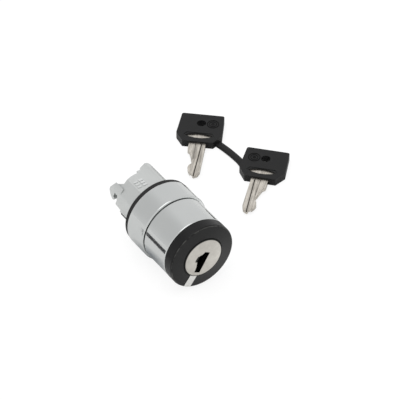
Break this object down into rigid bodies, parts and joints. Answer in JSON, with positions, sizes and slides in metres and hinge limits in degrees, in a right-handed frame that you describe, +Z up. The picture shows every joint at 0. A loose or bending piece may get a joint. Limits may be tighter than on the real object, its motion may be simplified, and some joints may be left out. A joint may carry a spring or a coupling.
{
  "type": "key-operated selector switch head",
  "caption": "Key-operated selector head for a panel hole: lock plug in a black ring with a white pointer, chrome bezel, grey rear barrel with hooked ears and plungers, and two strapped keys.",
  "frame": {"origin": "on the lock axis, in the plane where the sealing washer rests on the panel", "axes": "+Y along the lock axis to the back of the panel (the operator is on the -Y side), +Z up as the head lies on its bezel with the keys flat beside it, +X towards the keys"},
  "size_m": [0.0845, 0.0865, 0.0296],
  "materials": {
    "grey_metal": "matte cast zinc, light grey",
    "satin_chrome": "satin chrome plate",
    "black_rubber": "matte",
    "zinc_casting": "bare die casting",
    "bright_steel": "drawn steel",
    "nickel_plug": "nickel plated, fine turned",
    "wafer_brass": "stamped brass",
    "black_plastic": "satin black",
    "white_plastic": "satin white",
    "dark_plastic": "moulded nylon",
    "key_plastic": "satin black",
    "key_nickel": "nickel plated, fine brushed",
    "strap_plastic": "soft satin black"
  },
  "bodies": {
    "housing": {"mounting_barrel": "grey_metal", "panel_gasket": "black_rubber", "bezel_ring": "satin_chrome", "bezel_sleeve": "satin_chrome", "lock_stator": "zinc_casting", "stator_dowel": "bright_steel", "seal_ring": "black_rubber", "detent_ring": "dark_plastic", "plunger_guide": "dark_plastic"},
    "lock_rotor": {"lock_plug": "nickel_plug", "knob_ring": "black_plastic", "index_bar": "white_plastic", "tumbler_wafers": "wafer_brass", "wafer_springs": "bright_steel", "plug_clip": "bright_steel", "thrust_washer": "bright_steel", "drive_stem": "dark_plastic", "detent_carrier": "dark_plastic", "detent_balls": "bright_steel", "detent_springs": "bright_steel", "cam_drum": "dark_plastic"},
    "left_plunger": {"plunger_left": "dark_plastic"},
    "right_plunger": {"plunger_right": "dark_plastic"},
    "key_set_1": {"key_blade_1": "key_nickel", "key_head_1": "key_plastic", "key_strap": "strap_plastic"},
    "key_set_2": {"key_blade_2": "key_nickel", "key_head_2": "key_plastic"}
  },
  "joints": [
    {"name": "lock_turn", "type": "hinge", "parent": "housing", "child": "lock_rotor", "pos_m": [0, 0, 0], "axis": [0, 1, 0], "range_deg": [0, 90]},
    {"name": "left_plunger_slide", "type": "slide", "parent": "housing", "child": "left_plunger", "axis": [0, 1, 0], "range_m": [0, 0.003]},
    {"name": "right_plunger_slide", "type": "slide", "parent": "housing", "child": "right_plunger", "axis": [0, 1, 0], "range_m": [0, 0.003]},
    {"name": "keys_lift", "type": "slide", "parent": "housing", "child": "key_set_1", "axis": [0, 0, 1], "range_m": [0, 0.05]},
    {"name": "strap_flex", "type": "hinge", "parent": "key_set_1", "child": "key_set_2", "pos_m": [0.05185, 0.0255, -0.01415], "axis": [-1, 0, 0], "range_deg": [0, 60], "deforming": ["key_strap"]}
  ],
  "couplings": [
    {"joint": "left_plunger_slide", "follows": "lock_turn", "m_per_rad": 0.0019099},
    {"joint": "right_plunger_slide", "follows": "lock_turn", "m_per_rad": 0.0019099}
  ]
}
